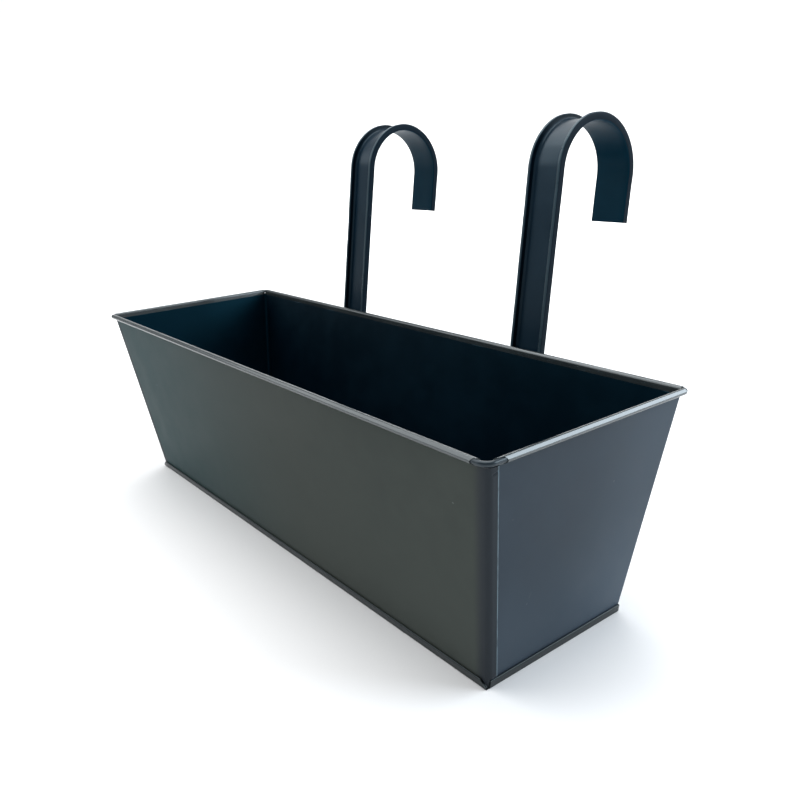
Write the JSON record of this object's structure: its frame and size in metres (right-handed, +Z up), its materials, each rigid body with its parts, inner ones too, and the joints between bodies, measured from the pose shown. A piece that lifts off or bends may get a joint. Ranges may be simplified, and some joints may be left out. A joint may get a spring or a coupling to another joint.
{
  "type": "window box planter",
  "caption": "Tapered sheet-metal window box with a wired rim and folded seams, hung from a rail by rounded flat hooks on its back.",
  "frame": {"origin": "centre of the box's flat foot, on the surface it stands on", "axes": "+X along the box, -Y the front, +Y the back with the hooks, +Z up"},
  "size_m": [0.45, 0.238, 0.2774],
  "materials": {
    "sheet_paint": "satin",
    "wire_paint": "satin",
    "hook_paint": "satin",
    "rivet_paint": "satin"
  },
  "bodies": {
    "root": {"front_panel": "sheet_paint", "back_panel": "sheet_paint", "left_end_panel": "sheet_paint", "right_end_panel": "sheet_paint", "bottom_pan": "sheet_paint", "rim_wire": "wire_paint", "left_hook": "hook_paint", "right_hook": "hook_paint", "hook_rivets": "rivet_paint"}
  },
  "joints": []
}
